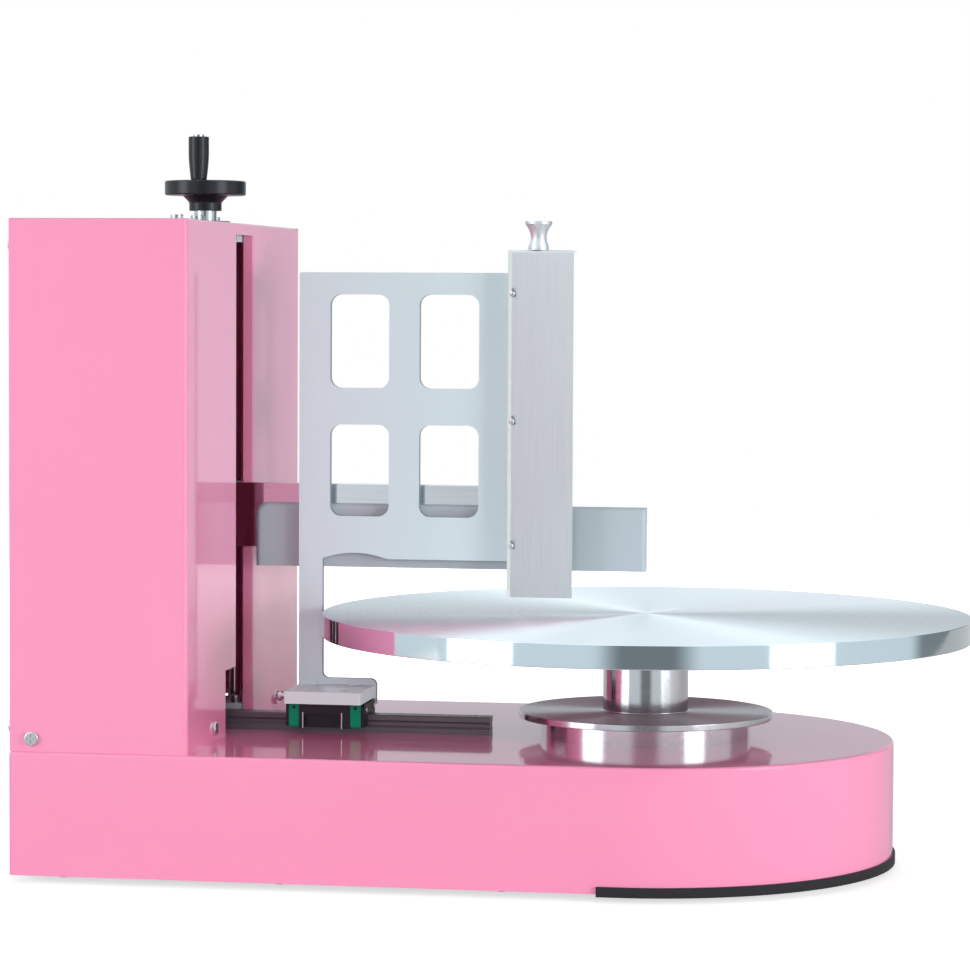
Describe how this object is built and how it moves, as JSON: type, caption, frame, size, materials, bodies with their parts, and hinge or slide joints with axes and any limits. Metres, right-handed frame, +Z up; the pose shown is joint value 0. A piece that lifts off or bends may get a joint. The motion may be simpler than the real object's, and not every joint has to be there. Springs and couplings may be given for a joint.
{
  "type": "cake smoothing machine",
  "caption": "Bench cake smoothing machine: motor turntable on a round-ended base, sliding upright scraper on a rail, and a smoother arm raised by a handwheel screw.",
  "frame": {"origin": "on the bench under the middle of the machine's bounding box", "axes": "+X from the column towards the turntable along the rail, +Y to the rear with the controls, +Z up"},
  "size_m": [0.7046, 0.5, 0.5629],
  "materials": {
    "pink_paint": "gloss powder coat",
    "plated_sheet": "zinc plated sheet",
    "zinc_screw": "bright zinc plate",
    "turned_aluminium": "face turned, polished rim",
    "anodised_aluminium": "satin blasted and anodised",
    "polished_aluminium": "turned and polished",
    "polished_steel": "polished",
    "brushed_stainless": "line brushed",
    "rail_steel": "ground bearing steel",
    "green_plastic": "moulded",
    "black_seal": "moulded rubber",
    "black_plastic": "moulded, fine grain",
    "black_rubber": "extruded rubber",
    "bronze": "machined",
    "motor_paint": "grey enamel",
    "circuit_board": "lacquered board",
    "nylon": "natural nylon"
  },
  "bodies": {
    "frame": {"base_shell": "pink_paint", "bottom_plate": "plated_sheet", "edge_trim": "black_rubber", "rubber_feet": "black_rubber", "bottom_screws": "zinc_screw", "column_shell": "pink_paint", "column_left_cover": "pink_paint", "column_rear_cover": "pink_paint", "cover_screws": "zinc_screw", "column_lugs": "plated_sheet", "floor_bracket": "anodised_aluminium", "top_bracket": "anodised_aluminium", "guide_rods": "polished_steel", "screw_bearing": "polished_steel", "lift_bolts": "zinc_screw", "linear_rail": "rail_steel", "base_bolts": "zinc_screw", "hub_housing": "polished_steel", "spindle_bearings": "rail_steel", "gear_motor": "motor_paint", "motor_bracket": "plated_sheet", "drive_belt": "black_rubber", "control_board": "circuit_board", "board_posts": "nylon", "power_inlet": "black_plastic", "inlet_pins": "bronze", "switch_housing": "black_plastic", "speed_pot": "motor_paint"},
    "turntable": {"turntable_disc": "turned_aluminium", "turntable_hub": "polished_steel", "spindle": "polished_steel", "driven_pulley": "anodised_aluminium"},
    "motor_rotor": {"motor_shaft": "polished_steel", "motor_pulley": "anodised_aluminium"},
    "carriage": {"carriage_block": "rail_steel", "block_end_caps": "green_plastic", "block_end_seals": "black_seal", "carriage_screws": "zinc_screw", "carriage_plate": "anodised_aluminium", "carriage_plate_bolts": "zinc_screw", "carriage_bolts": "zinc_screw", "frame_plate": "anodised_aluminium", "scraper_bar": "brushed_stainless", "scraper_blade": "brushed_stainless", "scraper_pins": "zinc_screw", "scraper_knob": "polished_aluminium"},
    "arm": {"arm_bar": "polished_steel", "arm_bolts": "zinc_screw", "lift_block": "anodised_aluminium", "guide_bushes": "bronze", "lift_nut": "bronze", "smoother_blade": "brushed_stainless"},
    "handwheel": {"handwheel": "black_plastic", "lead_screw": "polished_steel", "crank_pin": "polished_steel"},
    "handle": {"crank_grip": "black_plastic"},
    "speed_dial": {"speed_knob": "black_plastic", "pot_shaft": "polished_steel"},
    "rocker": {"switch_rocker": "black_plastic"}
  },
  "joints": [
    {"name": "turntable_spin", "type": "hinge", "parent": "frame", "child": "turntable", "pos_m": [0.10225, 0, 0.1482], "axis": [0, 0, 1], "continuous": true},
    {"name": "motor_spin", "type": "hinge", "parent": "frame", "child": "motor_rotor", "pos_m": [-0.06275, 0.046, 0.0382], "axis": [0, 0, 1], "continuous": true},
    {"name": "carriage_slide", "type": "slide", "parent": "frame", "child": "carriage", "axis": [1, 0, 0], "range_m": [-0.15, 0.004]},
    {"name": "handwheel_turn", "type": "hinge", "parent": "frame", "child": "handwheel", "pos_m": [-0.25935, 0.048, 0.4982], "axis": [0, 0, -1], "range_deg": [-1800, 16200]},
    {"name": "arm_lift", "type": "slide", "parent": "frame", "child": "arm", "axis": [0, 0, 1], "range_m": [-0.02, 0.18]},
    {"name": "handle_spin", "type": "hinge", "parent": "handwheel", "child": "handle", "pos_m": [-0.25935, 0.026, 0.5382], "axis": [0, 0, 1], "continuous": true},
    {"name": "speed_dial_turn", "type": "hinge", "parent": "frame", "child": "speed_dial", "pos_m": [-0.16775, 0.2, 0.0522], "axis": [0, -1, 0], "range_deg": [0, 300]},
    {"name": "rocker_tilt", "type": "hinge", "parent": "frame", "child": "rocker", "pos_m": [-0.22775, 0.187, 0.0522], "axis": [1, 0, 0], "range_deg": [0, 16]}
  ],
  "couplings": [
    {"joint": "motor_spin", "follows": "turntable_spin", "ratio": 3},
    {"joint": "handwheel_turn", "follows": "arm_lift", "rad_per_m": 1570.8}
  ]
}
